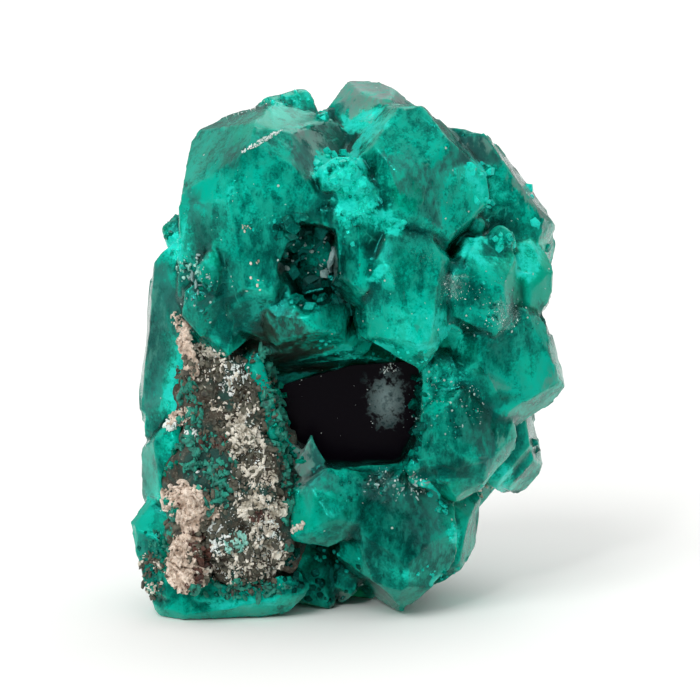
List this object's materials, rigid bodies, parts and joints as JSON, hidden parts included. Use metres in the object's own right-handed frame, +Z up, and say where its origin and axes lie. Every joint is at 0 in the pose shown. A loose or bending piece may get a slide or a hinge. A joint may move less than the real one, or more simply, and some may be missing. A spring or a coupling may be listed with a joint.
{
  "type": "dioptase specimen",
  "caption": "Mineral specimen of stout emerald-green dioptase crystals grown together round a dark hollow, with brown host rock and a pale calcite crust.",
  "frame": {"origin": "middle of the specimen's bounding box, on the plane that it stands on", "axes": "+Z up; the hollow and the host rock face -Y, which is the front; +X to the right seen from the front"},
  "size_m": [0.0322, 0.024, 0.0389],
  "materials": {
    "dioptase": "natural crystal faces, glossy and translucent",
    "host_rock": "rough broken rock with crumbs",
    "calcite_crust": "matt crumbly crust"
  },
  "bodies": {
    "root": {"dioptase_crystals": "dioptase", "host_rock": "host_rock", "pale_crust_lower": "calcite_crust", "pale_crust_upper": "calcite_crust"}
  },
  "joints": []
}
